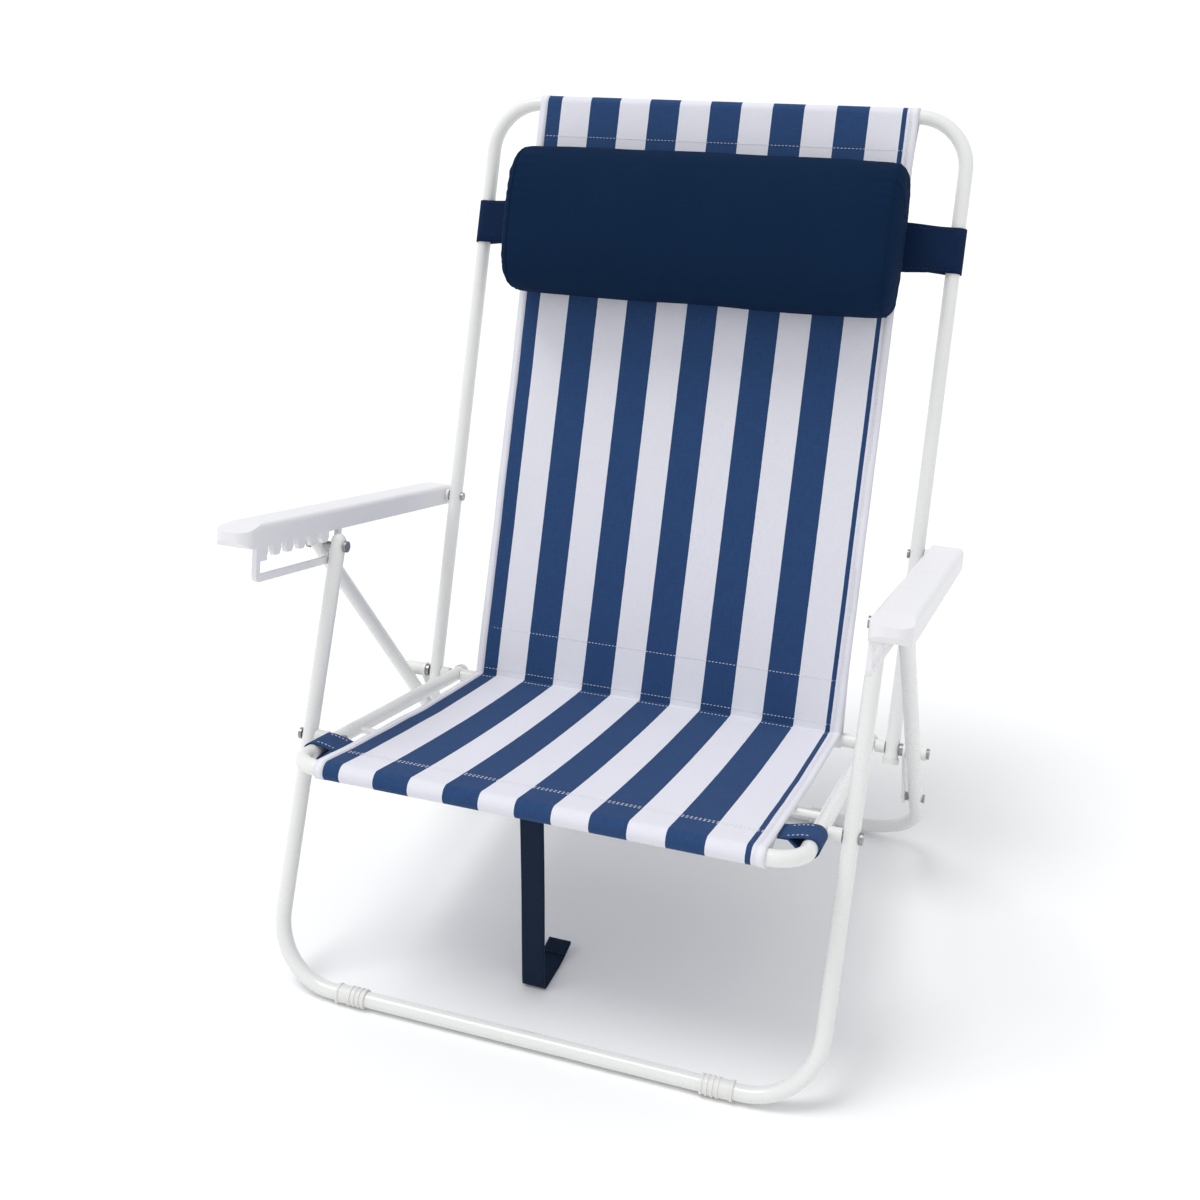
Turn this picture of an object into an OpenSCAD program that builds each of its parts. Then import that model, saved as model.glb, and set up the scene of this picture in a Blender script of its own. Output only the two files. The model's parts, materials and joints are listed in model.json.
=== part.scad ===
// Folding beach chair: four bent steel tube frames, a two-panel sling, a head pillow and slotted arms.
// Millimetres, +Z up, the chair faces -Y. The origin is on the floor, under the middle of the chair.
// In the side view a point is [y, z], with y counted from the middle of the front floor bar.

/* [Frame tubes] */
// Outside diameter of every frame tube
tube_d = 16; // [14:0.5:22]
// Bend radius at the floor corners of the front legs
front_bend = 70; // [40:1:100]
// Bend radius at the floor corners of the rear legs
rear_bend = 75; // [40:1:100]
// Bend radius at the top corners of the back frame
back_bend = 58; // [30:1:90]
// Wall thickness of the foot sleeves that clip round the floor bars
foot_wall = 2; // [1:0.25:4]
// Length of one foot sleeve
foot_l = 32; // [15:1:60]
// Distance of each foot sleeve from the middle of the chair
foot_x = 193; // [120:1:198]

/* [Side view] */
// Arm bolt at the top of the legs, measured back from the front floor bar
bolt_y = 182; // [140:1:230]
// Height of the arm bolt above the floor
bolt_z = 426; // [360:1:500]
// Distance up the front leg from the floor bar to the seat pivot
seat_pivot_up = 254; // [210:1:290]
// Rear pivot of the seat, measured back from the front floor bar
hinge_y = 394.5; // [350:1:440]
// Height of the rear pivot of the seat above the floor
hinge_z = 183; // [150:1:210]
// Reach of the seat rails ahead of the seat pivot
seat_nose = 87; // [60:1:110]
// Lean of the back frame, up from the floor line
back_angle = 71; // [60:1:78]
// Distance from the rear pivot to the top bar of the back frame
back_l = 702; // [550:1:800]
// Distance from the rear pivot to the arm rivet, along the back frame
arm_rivet_up = 219; // [190:1:240]

/* [Widths] */
// Width of the sling fabric
fabric_w = 448; // [360:1:520]
// Gap between the edge of the fabric and the middle of a seat rail
fabric_gap = 31; // [24:1:45]
// Length of the spacer between a seat rail and a back tube
back_spacer = 11; // [8:0.5:20]
// Length of the spacer between a seat rail and a front leg
leg_spacer = 14; // [11:0.5:23]
// Gap between a front leg and a rear leg, where the slotted arm plate runs
plate_gap = 8; // [7:0.5:12]

/* [Arms] */
// Width of an arm rest
arm_w = 38; // [32:1:55]
// Height of an arm rest, from its lower edge to its crown
arm_h = 22.5; // [20:0.5:32]
// Distance from the arm rivet to the front of the arm rest
arm_l = 449; // [430:1:520]
// Distance of the arm bolt below the arm rivet, square to the arm
slot_drop = 26; // [24:0.5:32]
// Distance between two recline notches
notch_pitch = 23.5; // [18:0.5:26]
// Number of recline notches
notches = 6; // [3:1:6]
// Thickness of the slotted plate under an arm rest
plate_t = 5; // [3:0.5:6]

/* [Fasteners] */
// Diameter of the pivot bolts
bolt_d = 7; // [5:0.5:8]
// Diameter of the rivets
rivet_d = 6; // [4:0.5:7]
// Thickness of the steel link plates
link_t = 3; // [2:0.25:4]
// Width of the steel link plates
link_w = 18; // [15:0.5:24]

/* [Soft goods] */
// Thickness of the sling fabric
fabric_t = 2; // [1:0.25:3]
// Height of the pillow, along the back
pillow_h = 184; // [120:1:220]
// Thickness of the pillow
pillow_t = 84; // [50:1:110]
// Width of the pillow
pillow_w = 462; // [360:1:500]
// Distance from the top bar of the back frame down to the middle of the pillow
pillow_down = 146; // [112:1:240]
// Width of the strap behind the pillow
pillow_strap_w = 50; // [25:1:60]
// Width of the band under the front of the seat
band_w = 38; // [20:1:40]
// Width of the closing strap
strap_w = 25; // [20:1:40]
// Distance of the closing strap to the left of the middle
strap_x = 28; // [0:1:100]

/* [Hidden] */
$fn = 64;

// Clearances
run_gap = 0.05;
soft_gap = 0.3;
body_gap = 0.3;
eps = 0.01;

// Tube and hole radii
tube_r = tube_d / 2;
foot_r = tube_r + foot_wall;
bore_r = bolt_d / 2 + run_gap;
rivet_bore_r = rivet_d / 2 + run_gap;
head_r = bolt_d / 2 + 2.5;
head_t = 3.2;
rivet_head_t = 2.4;
stop_sleeve_r = 8;
stop_sleeve_gap = 2.3;
plate_room = 1;
link_room = 3.5;
spacer_r = bolt_d / 2 + 3.5;

// Length of the rails and back tubes past the rear pivot, and of the caps on their ends
rail_over = 16;
back_over = 16;
cap_l = 6;
cap_wall = 1.2;

// Rod across the seat, and the bolt holes in the rear cross tube
rod_r = 3.5;
rod_back = 42;
cross_bore = 26;

// Planes across the chair, as distances from its middle
rail_x = fabric_w / 2 + fabric_gap;
back_x = rail_x + tube_d + back_spacer;
front_x = rail_x + tube_d + leg_spacer;
rear_x = front_x + tube_d + plate_gap;
plate_x = front_x + tube_r + plate_room;
seat_bend = fabric_gap;
link_x = rear_x - tube_r - link_room - link_t;
stop_sleeve_x = link_x + link_t + body_gap;
stop_sleeve_l = rear_x + tube_r + 3 - stop_sleeve_x;

// Side view points, as [y, z]
function along(a) = [cos(a), sin(a)];
function angle_of(v) = atan2(v[1], v[0]);
bar_z = foot_r;
front_bar = [0, bar_z];
arm_bolt = [bolt_y, bolt_z];
front_leg_a = angle_of(arm_bolt - front_bar);
seat_pivot = front_bar + seat_pivot_up * along(front_leg_a);
hinge = [hinge_y, hinge_z];
seat_a = angle_of(seat_pivot - hinge);
seat_pivot_u = norm(seat_pivot - hinge);
seat_l = seat_pivot_u + seat_nose;
seat_bar = hinge + seat_l * along(seat_a);
back_bar = hinge + back_l * along(back_angle);
arm_rivet = hinge + arm_rivet_up * along(back_angle);
rod_at = seat_pivot - rod_back * along(seat_a);

// The rear legs pass just ahead of the stop sleeves on the rear pivot
stop_reach = norm(hinge - arm_bolt);
rear_leg_a = angle_of(hinge - arm_bolt) - asin((tube_r + stop_sleeve_r + stop_sleeve_gap) / stop_reach);
rear_leg_l = (arm_bolt[1] - bar_z) / -sin(rear_leg_a);
rear_bar = arm_bolt + rear_leg_l * along(rear_leg_a);
front_leg_l = norm(arm_bolt - front_bar);

// The link plates are sized so that the frame folds flat: bolt to link rivet plus link
// equals bolt to seat pivot plus seat pivot to rear pivot.
fold_l = norm(arm_bolt - seat_pivot) + seat_pivot_u;
link_down = (fold_l * fold_l - stop_reach * stop_reach)
    / (2 * (fold_l - (hinge - arm_bolt) * along(rear_leg_a)));
link_rivet = arm_bolt + link_down * along(rear_leg_a);
link_a = angle_of(link_rivet - hinge);
link_l = norm(link_rivet - hinge);

// The arm lies square above the arm bolt by slot_drop
arm_reach = norm(arm_bolt - arm_rivet);
arm_a = angle_of(arm_bolt - arm_rivet) - asin(slot_drop / arm_reach);
bolt_u = sqrt(arm_reach * arm_reach - slot_drop * slot_drop);

// The domes on the legs start clear of the bolt hole
dome_up = bore_r + 1.5;

// Slotted plate, in the arm's own frame: u forward from the rivet, v up from it
arm_low = -arm_h / 2;
tip_v = -slot_drop + bolt_d / 2 + soft_gap;
root_v = arm_low + 1.5;
slot_floor_v = -slot_drop - 12.5;
plate_low_v = slot_floor_v - 7;
notch_w = bolt_d + 2;
slot_rear_u = bolt_u - 15.5;
slot_front_u = bolt_u + (notches - 1) * notch_pitch + 6;
plate_rear_u = slot_rear_u - 7;
plate_front_u = slot_front_u + 19;
tooth_tip_w = 8.5;
arm_wall = 3;
arm_top_t = 4;
arm_tail = 14;
arm_boss_t = 12;
arm_round = 6;
nose_round = 15;

// Soft goods
loop_in = tube_r + soft_gap;
loop_out = loop_in + fabric_t;
loop_mid = loop_in + fabric_t / 2;
sling_start = 14;
band_t = 1.6;
band_u = seat_pivot_u + 29;
band_dip = 6;
band_lift = 0.7;
pillow_up = back_l - pillow_down;
pillow_back_t = loop_in + band_lift + band_t + soft_gap;
pillow_round = 30;
strap_t = 2;
strap_y = 85;
strap_floor = 0.5;
strap_bend = 7;
strap_flat = 48;
strap_end = 30;
strap_lift = 6;
strap_rise = (loop_in + band_lift - band_dip) / cos(180 - seat_a);
strap_top = hinge_z + (hinge_y - strap_y) * tan(180 - seat_a) + strap_rise - soft_gap;

// The chair stands centred on the origin
y_front = -bar_z;
y_back = back_bar[0] + loop_out;
y_mid = (y_front + y_back) / 2;

steel_white = [0.93, 0.93, 0.92];
plastic_white = [0.96, 0.96, 0.96];
bare_steel = [0.62, 0.63, 0.65];
navy = [0.09, 0.17, 0.36];
stripe_blue = [0.16, 0.28, 0.50];

// Turns a flat side-view shape, drawn as (y, z), into a slab from x to x + t
module slab(x, t) {
    translate([x, -y_mid, 0])
        rotate([90, 0, 90])
            linear_extrude(t)
                children();
}

// A round bar along X, from x to x + t, at a side-view point
module pin(p, r, x, t) {
    translate([x, p[0] - y_mid, p[1]])
        rotate([0, 90, 0])
            cylinder(r = r, h = t);
}

// A round tube or washer along X
module ring(p, r_out, r_in, x, t) {
    difference() {
        pin(p, r_out, x, t);
        pin(p, r_in, x - 1, t + 2);
    }
}

// Copies a right-hand shape to the left-hand side
module both() {
    children();
    mirror([1, 0, 0])
        children();
}

// Places a frame drawn in its own plane: bar at the origin along X, legs along +Y
module in_plane(p, a) {
    translate([0, p[0] - y_mid, p[1]])
        rotate([a, 0, 0])
            children();
}

// A tube bent into a U: a bar along X and two legs along +Y
module u_frame(half_w, leg, bend) {
    rotate([0, 90, 0])
        cylinder(r = tube_r, h = 2 * (half_w - bend), center = true);
    both() {
        translate([half_w - bend, bend, 0])
            rotate([0, 0, -90])
                rotate_extrude(angle = 90)
                    translate([bend, 0])
                        circle(tube_r);
        translate([half_w, bend, 0])
            rotate([-90, 0, 0])
                cylinder(r = tube_r, h = leg - bend);
    }
}

// Rounded tube end
module dome(half_w, leg) {
    both()
        translate([half_w, leg, 0])
            sphere(r = tube_r);
}

// Foot sleeves on a floor bar: a ribbed clip with a collar at each end
module foot_sleeves(p) {
    rib = 2.5;
    both()
        difference() {
            union() {
                pin(p, foot_r - 0.8, foot_x - foot_l / 2, foot_l);
                for (k = [0 : 2 : 2 * floor(foot_l / (4 * rib))])
                    pin(p, foot_r, foot_x - foot_l / 2 + k * rib * 1.05, rib);
                pin(p, foot_r, foot_x + foot_l / 2 - rib, rib);
            }
            pin(p, tube_r + run_gap, foot_x - foot_l, 2 * foot_l);
        }
}

/* ---- Front legs ---- */

module front_leg_frame() {
    color(steel_white)
        difference() {
            in_plane(front_bar, front_leg_a) {
                u_frame(front_x, front_leg_l + dome_up, front_bend);
                dome(front_x, front_leg_l + dome_up);
            }
            both() {
                pin(arm_bolt, bore_r, front_x - tube_d, 2 * tube_d);
                pin(seat_pivot, bore_r, front_x - tube_d, 2 * tube_d);
            }
        }
}

module front_foot_sleeves() {
    color(plastic_white)
        foot_sleeves(front_bar);
}

module arm_bolts() {
    x_in = front_x - tube_r - run_gap;
    x_out = rear_x + tube_r + body_gap;
    color(bare_steel)
        both() {
            pin(arm_bolt, bolt_d / 2, x_in - eps, x_out - x_in + 2 * eps);
            pin(arm_bolt, head_r, x_in - head_t, head_t);
            pin(arm_bolt, head_r, x_out, head_t);
        }
}

/* ---- Rear legs ---- */

module rear_leg_frame() {
    color(steel_white)
        difference() {
            in_plane(rear_bar, angle_of(arm_bolt - rear_bar)) {
                u_frame(rear_x, rear_leg_l + dome_up, rear_bend);
                dome(rear_x, rear_leg_l + dome_up);
            }
            both() {
                pin(arm_bolt, bore_r, rear_x - tube_d, 2 * tube_d);
                pin(link_rivet, rivet_bore_r, rear_x - tube_d, 2 * tube_d);
            }
        }
}

module rear_foot_sleeves() {
    color(plastic_white)
        foot_sleeves(rear_bar);
}

module link_stop_rivets() {
    x_out = rear_x + tube_r + run_gap;
    color(bare_steel)
        both() {
            pin(link_rivet, rivet_d / 2, rear_x - tube_r + eps, tube_d + run_gap);
            pin(link_rivet, rivet_d / 2 + 2, x_out, rivet_head_t);
        }
}

/* ---- Seat frame ---- */

module seat_frame() {
    color(steel_white)
        difference() {
            in_plane(seat_bar, seat_a + 180)
                u_frame(rail_x, seat_l + rail_over, seat_bend);
            both() {
                pin(hinge, bore_r, rail_x - tube_d, 2 * tube_d);
                pin(seat_pivot, bore_r, rail_x - tube_d, 2 * tube_d);
            }
            pin(rod_at, rod_r + run_gap, -rail_x, 2 * rail_x);
        }
}

module seat_cross_rod() {
    color(steel_white)
        pin(rod_at, rod_r, -rail_x + run_gap, 2 * (rail_x - run_gap));
}

module seat_pivot_bolts() {
    x_in = rail_x - tube_r - run_gap;
    x_out = front_x + tube_r + run_gap;
    color(bare_steel)
        both() {
            pin(seat_pivot, bolt_d / 2, x_in - eps, x_out - x_in + 2 * eps);
            pin(seat_pivot, head_r, x_in - head_t, head_t);
            pin(seat_pivot, head_r, x_out, head_t);
        }
}

module seat_pivot_spacers() {
    color(plastic_white)
        both()
            ring(seat_pivot, spacer_r, bore_r, rail_x + tube_r + run_gap, leg_spacer - run_gap - body_gap);
}

// Cup caps pushed over the rear ends of the rails
module rail_end_caps() {
    color(plastic_white)
        both()
            end_cap(seat_bar, seat_a + 180, rail_x, seat_l + rail_over);
}

// A cup over the end of a leg that is drawn in a frame's own plane
module end_cap(p, a, half_w, leg) {
    in_plane(p, a)
        translate([half_w, leg - cap_l + cap_wall + run_gap, 0])
            rotate([-90, 0, 0])
                difference() {
                    cylinder(r = tube_r + cap_wall, h = cap_l);
                    translate([0, 0, -1])
                        cylinder(r = tube_r + run_gap, h = cap_l - cap_wall + 1);
                }
}

/* ---- Rear pivot ---- */

module rear_cross_tube() {
    tube_end = rail_x - tube_r - body_gap;
    color(steel_white)
        difference() {
            pin(hinge, tube_r, -tube_end, 2 * tube_end);
            both()
                pin(hinge, bore_r, tube_end - cross_bore, cross_bore + 1);
        }
}

module hinge_bolts() {
    x_in = rail_x - tube_r - body_gap - cross_bore + 1;
    x_out = stop_sleeve_x + stop_sleeve_l + run_gap;
    color(bare_steel)
        both() {
            pin(hinge, bolt_d / 2, x_in, x_out - x_in + eps);
            pin(hinge, head_r, x_out, head_t);
        }
}

module hinge_spacers() {
    color(plastic_white)
        both()
            ring(hinge, spacer_r, bore_r, rail_x + tube_r + body_gap, back_spacer - 2 * body_gap);
}

module hinge_washers() {
    x_in = back_x + tube_r + body_gap;
    color(bare_steel)
        both()
            ring(hinge, spacer_r, bore_r, x_in, link_x - body_gap - x_in);
}

module stop_sleeves() {
    color(plastic_white)
        both()
            ring(hinge, stop_sleeve_r, bore_r, stop_sleeve_x, stop_sleeve_l);
}

/* ---- Links between the rear pivot and the rear legs ---- */

module link_plate() {
    difference() {
        slab(link_x, link_t)
            union() {
                translate(hinge)
                    circle(link_w / 2);
                translate(link_rivet)
                    circle(link_w / 2);
                translate(hinge)
                    rotate(link_a)
                        translate([0, -link_w / 2])
                            square([link_l, link_w]);
            }
        pin(hinge, bore_r, link_x - 1, link_t + 2);
        pin(link_rivet, rivet_bore_r, link_x - 1, link_t + 2);
    }
}

// The link's own half of the rivet stops just short of the rear leg
module link_rivet_shape() {
    x_end = rear_x - tube_r - body_gap;
    pin(link_rivet, rivet_d / 2, link_x - 1, x_end - link_x + 1);
    pin(link_rivet, rivet_d / 2 + 1, link_x - 1.2, 1.15);
    pin(link_rivet, rivet_d / 2 + 2, link_x + link_t + run_gap, x_end - link_x - link_t - run_gap);
}

module right_link() {
    color(steel_white)
        link_plate();
}

module left_link() {
    color(steel_white)
        mirror([1, 0, 0])
            link_plate();
}

module right_link_rivet() {
    color(bare_steel)
        link_rivet_shape();
}

module left_link_rivet() {
    color(bare_steel)
        mirror([1, 0, 0])
            link_rivet_shape();
}

/* ---- Back frame ---- */

module back_frame() {
    color(steel_white)
        difference() {
            in_plane(back_bar, back_angle + 180)
                u_frame(back_x, back_l + back_over, back_bend);
            both() {
                pin(hinge, bore_r, back_x - tube_d, 2 * tube_d);
                pin(arm_rivet, rivet_bore_r, back_x - tube_d, 2 * tube_d);
            }
        }
}

module back_end_caps() {
    color(plastic_white)
        both()
            end_cap(back_bar, back_angle + 180, back_x, back_l + back_over);
}

/* ---- Arms ---- */

// Arm plan, drawn with u along x and the width along y
module arm_plan(grow) {
    x0 = -arm_tail - grow;
    x1 = arm_l + grow;
    y0 = -grow;
    y1 = arm_w + grow;
    ra = arm_round + grow;
    rn = nose_round + grow;
    polygon([[x0, y0 + ra], [x0 + ra, y0], [x1 - rn, y0], [x1, y0 + rn],
        [x1, y1 - rn], [x1 - rn, y1], [x0 + ra, y1], [x0, y1 - ra]]);
    for (y = [y0 + ra, y1 - ra])
        translate([x0 + ra, y])
            circle(ra);
    for (y = [y0 + rn, y1 - rn])
        translate([x1 - rn, y])
            circle(rn);
}

// Arm cross-section, drawn with the width along x and v along y
module arm_section(w, v0, v1, r) {
    translate([0, v0])
        square([w, v1 - v0 - r]);
    translate([r, v1 - r - eps])
        square([w - 2 * r, r + eps]);
    for (x = [r, w - r])
        translate([x, v1 - r])
            circle(r);
}

// Side outline of the arm: the nose slopes down at its front end
module arm_side() {
    polygon([[-arm_tail - 1, arm_low], [arm_l - 12, arm_low], [arm_l + 1, arm_low + 8],
        [arm_l + 1, arm_low + arm_h - 7], [arm_l - 34, arm_low + arm_h], [-arm_tail - 1, arm_low + arm_h]]);
}

// Outline of the slotted plate, in (u, v)
module plate_outline() {
    plate_top = arm_low + arm_h - arm_top_t + eps;
    difference() {
        union() {
            translate([plate_rear_u, plate_low_v + 7])
                square([plate_front_u - plate_rear_u, plate_top - plate_low_v - 7]);
            translate([plate_rear_u + 7, plate_low_v])
                square([plate_front_u - plate_rear_u - 14, 8]);
            for (u = [plate_rear_u + 7, plate_front_u - 7])
                translate([u, plate_low_v + 7])
                    circle(7);
        }
        // Free slot that the arm bolt runs in
        translate([slot_rear_u, slot_floor_v])
            square([slot_front_u - slot_rear_u, tip_v - slot_floor_v]);
        // Window ahead of the last tooth
        translate([slot_front_u - 1, slot_floor_v])
            square([13, tip_v - slot_floor_v - 3]);
        // Notches, wider at their mouths
        for (k = [0 : notches - 1])
            translate([bolt_u + k * notch_pitch, 0])
                notch();
        // The rear notch is open to the rear of the slot
        translate([slot_rear_u, tip_v - eps])
            square([bolt_u - slot_rear_u, root_v - tip_v + eps]);
    }
}

module notch() {
    mouth = notch_pitch - tooth_tip_w;
    polygon([[-mouth / 2, tip_v - eps], [mouth / 2, tip_v - eps], [notch_w / 2, tip_v + 5],
        [notch_w / 2, root_v - 3], [-notch_w / 2, root_v - 3], [-notch_w / 2, tip_v + 5]]);
    translate([-notch_w / 2 + 3, root_v - 3 - eps])
        square([notch_w - 6, 3 + eps]);
    for (s = [-1, 1])
        translate([s * (notch_w / 2 - 3), root_v - 3])
            circle(3);
}

// Right arm in its own frame: u along X, width along Y, v along Z
module arm_body() {
    difference() {
        intersection() {
            translate([0, 0, arm_low - 1])
                linear_extrude(arm_h + 2)
                    arm_plan(0);
            translate([0, arm_w, 0])
                rotate([90, 0, 0])
                    linear_extrude(arm_w)
                        arm_side();
            translate([-arm_tail - 1, 0, 0])
                rotate([90, 0, 90])
                    linear_extrude(arm_l + arm_tail + 2)
                        arm_section(arm_w, arm_low - 1, arm_low + arm_h, 6);
        }
        // Hollow underside, with a solid boss left at the rivet
        difference() {
            translate([0, 0, arm_low - 2])
                linear_extrude(arm_h - arm_top_t + 2)
                    arm_plan(-arm_wall);
            translate([-arm_tail, 0, arm_low - 3])
                cube([2 * arm_tail, arm_boss_t, arm_h + 6]);
            translate([arm_l - 24, 0, arm_low - 3])
                cube([40, arm_w, arm_h + 6]);
        }
    }
    translate([0, plate_t, 0])
        rotate([90, 0, 0])
            linear_extrude(plate_t)
                plate_outline();
}

// Sets the arm's own frame at the rivet: u forward along the arm, v up, width outward
module at_arm() {
    translate([plate_x, arm_rivet[0] - y_mid, arm_rivet[1]])
        rotate([arm_a, 0, 0])
            rotate([180, 0, 90])
                children();
}

module arm_shape() {
    difference() {
        at_arm()
            arm_body();
        pin(arm_rivet, rivet_bore_r, plate_x - 1, arm_boss_t + 2);
    }
}

module arm_rivet_shape() {
    x_in = back_x - tube_r - run_gap;
    x_out = plate_x + arm_boss_t + run_gap;
    pin(arm_rivet, rivet_d / 2, x_in - eps, x_out - x_in + 2 * eps);
    pin(arm_rivet, rivet_d / 2 + 2, x_in - rivet_head_t, rivet_head_t);
    pin(arm_rivet, rivet_d / 2 + 2, x_out, rivet_head_t);
}

module arm_washer_shape() {
    x_in = back_x + tube_r + body_gap;
    ring(arm_rivet, rivet_d / 2 + 4, rivet_bore_r, x_in, plate_x - body_gap - x_in);
}

module right_arm() {
    color(plastic_white)
        arm_shape();
}

module left_arm() {
    color(plastic_white)
        mirror([1, 0, 0])
            arm_shape();
}

module right_arm_rivet() {
    color(bare_steel)
        arm_rivet_shape();
}

module left_arm_rivet() {
    color(bare_steel)
        mirror([1, 0, 0])
            arm_rivet_shape();
}

module right_arm_washer() {
    color(plastic_white)
        arm_washer_shape();
}

module left_arm_washer() {
    color(plastic_white)
        mirror([1, 0, 0])
            arm_washer_shape();
}

/* ---- Soft goods ---- */

// Side profile of a sling panel: a loop round the bar at p, and a web back to near the rear pivot.
// side is 1 or -1: the side of the frame line that the web leaves the loop on.
module sling_profile(p, a, l, side) {
    translate(p)
        difference() {
            circle(loop_out);
            circle(loop_in);
        }
    translate(hinge)
        rotate(a)
            polygon([[sling_start, -fabric_t / 2], [l, side * loop_mid - fabric_t / 2],
                [l, side * loop_mid + fabric_t / 2], [sling_start, fabric_t / 2]]);
}

module seat_fabric() {
    color(stripe_blue)
        slab(-fabric_w / 2, fabric_w)
            sling_profile(seat_bar, seat_a, seat_l, -1);
}

module back_fabric() {
    color(stripe_blue)
        slab(-fabric_w / 2, fabric_w)
            sling_profile(back_bar, back_angle, back_l, 1);
}

// Frame-line coordinates at the rear pivot: X across, u along the frame line, w square to it
module on_line(a, u) {
    translate([0, hinge[0] - y_mid, hinge[1]])
        rotate([a, 0, 0])
            translate([0, u, 0])
                rotate([90, 0, 0])
                    children();
}

// Cross-section of a band between two tubes: a ring round each tube and a web between them
module band_section(x, t, dip) {
    web = loop_in + band_lift;
    low = web - dip;
    edge = fabric_w / 2;
    end = x - 2;
    difference() {
        union() {
            for (c = [-x, x])
                translate([c, 0])
                    circle(loop_in + t);
            polygon([[-end, web], [-edge, low], [edge, low], [end, web],
                [end, web + t], [edge, low + t], [-edge, low + t], [-end, web + t]]);
        }
        for (c = [-x, x])
            translate([c, 0])
                circle(loop_in);
    }
}

module under_seat_band() {
    color(navy)
        on_line(seat_a, band_u + band_w / 2)
            linear_extrude(band_w)
                mirror([0, 1])
                    band_section(rail_x, band_t, band_dip);
}

module pillow_strap() {
    color(navy)
        on_line(back_angle, pillow_up + pillow_strap_w / 2)
            linear_extrude(pillow_strap_w)
                band_section(back_x, band_t, 0);
}

// Pillow cross-section, drawn as (along the back, ahead of the back): flat behind, crowned ahead
module pillow_profile() {
    h = pillow_h;
    t = pillow_t;
    r = pillow_round;
    translate([-h / 2 + r, 0])
        square([h - 2 * r, t]);
    translate([-h / 2, r])
        square([h, t - 2 * r]);
    for (x = [-h / 2 + r, h / 2 - r])
        for (y = [r, t - r])
            translate([x, y])
                circle(r);
}

module head_pillow() {
    color(navy)
        slab(-pillow_w / 2, pillow_w)
            translate(hinge)
                rotate(back_angle)
                    translate([pillow_up, pillow_back_t])
                        pillow_profile();
}

// Webbing strap hung just under the band: it drops to the floor, lies flat and lifts at its end
module closing_strap() {
    flat_l = strap_flat - strap_bend;
    turn_y = strap_y + strap_bend - strap_t / 2;
    lift = strap_lift;
    color(navy)
        slab(-strap_x - strap_w / 2, strap_w)
            union() {
                translate([strap_y - strap_t / 2, strap_bend + strap_floor])
                    square([strap_t, strap_top - strap_bend - strap_floor]);
                translate([turn_y, strap_bend + strap_floor])
                    intersection() {
                        difference() {
                            circle(strap_bend);
                            circle(strap_bend - strap_t);
                        }
                        translate([-strap_bend, -strap_bend])
                            square(strap_bend);
                    }
                translate([turn_y, strap_floor])
                    square([flat_l, strap_t]);
                translate([turn_y + flat_l, strap_floor])
                    polygon([[0, 0], [strap_end, lift], [strap_end, lift + strap_t], [0, strap_t]]);
            }
}

front_leg_frame();
front_foot_sleeves();
arm_bolts();
rear_leg_frame();
rear_foot_sleeves();
link_stop_rivets();
seat_frame();
seat_cross_rod();
seat_pivot_bolts();
seat_pivot_spacers();
rail_end_caps();
seat_fabric();
under_seat_band();
closing_strap();
rear_cross_tube();
hinge_bolts();
hinge_spacers();
hinge_washers();
stop_sleeves();
back_frame();
back_end_caps();
back_fabric();
head_pillow();
pillow_strap();
left_link();
right_link();
left_link_rivet();
right_link_rivet();
left_arm();
right_arm();
left_arm_rivet();
right_arm_rivet();
left_arm_washer();
right_arm_washer();
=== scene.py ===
# %% [markdown]
# # A folding beach chair, dressed
# The chair's tubes, arms, links, bolts and sleeves come from the CAD model, which is loaded as a
# fixed frame. This lesson gives them paint, plastic and steel, and makes the soft pieces that CAD
# can only stand in for: the striped sling, the band under the seat, the closing strap and the
# head pillow. Everything is in metres, in the CAD model's own frame: +Z is up, the chair faces -Y.

# %% Load the frame
import json
import math
import random

import bpy
import numpy as np
from mathutils import Matrix, Vector


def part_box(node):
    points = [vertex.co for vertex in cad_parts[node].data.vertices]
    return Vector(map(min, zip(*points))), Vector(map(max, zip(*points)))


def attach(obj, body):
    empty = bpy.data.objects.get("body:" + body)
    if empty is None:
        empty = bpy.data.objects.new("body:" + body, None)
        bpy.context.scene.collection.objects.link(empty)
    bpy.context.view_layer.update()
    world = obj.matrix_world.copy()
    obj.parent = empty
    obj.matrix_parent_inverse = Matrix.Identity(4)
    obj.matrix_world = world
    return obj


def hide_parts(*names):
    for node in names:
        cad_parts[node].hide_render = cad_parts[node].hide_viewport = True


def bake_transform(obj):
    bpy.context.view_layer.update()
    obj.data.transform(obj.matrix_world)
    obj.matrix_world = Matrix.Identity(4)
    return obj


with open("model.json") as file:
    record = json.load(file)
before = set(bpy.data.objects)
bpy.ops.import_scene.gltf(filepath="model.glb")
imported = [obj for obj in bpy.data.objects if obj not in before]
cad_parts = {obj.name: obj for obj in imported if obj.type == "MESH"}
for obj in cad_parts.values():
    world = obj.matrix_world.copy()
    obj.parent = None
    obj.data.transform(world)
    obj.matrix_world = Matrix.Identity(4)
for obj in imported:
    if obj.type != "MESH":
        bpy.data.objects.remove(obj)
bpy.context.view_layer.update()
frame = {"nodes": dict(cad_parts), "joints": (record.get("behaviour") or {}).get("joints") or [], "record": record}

# %% [markdown]
# ## Where things are
# Every place on the chair can be read off the frame: the joints give the pivots, and a node's box
# gives how far a tube reaches. Working in two side-view lines, one along the seat and one up the
# back, keeps the cloth true to the tubes at any size. Each line starts at the rear pivot.

# %% Pivots and lines
PIVOTS = {j["name"]: Vector(j["pos_m"]) for j in frame["joints"]}
REAR = PIVOTS["recline"]
TUBE_R = 0.008
HALF_CLOTH = (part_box("seat_fabric")[1].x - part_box("seat_fabric")[0].x) / 2


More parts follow.
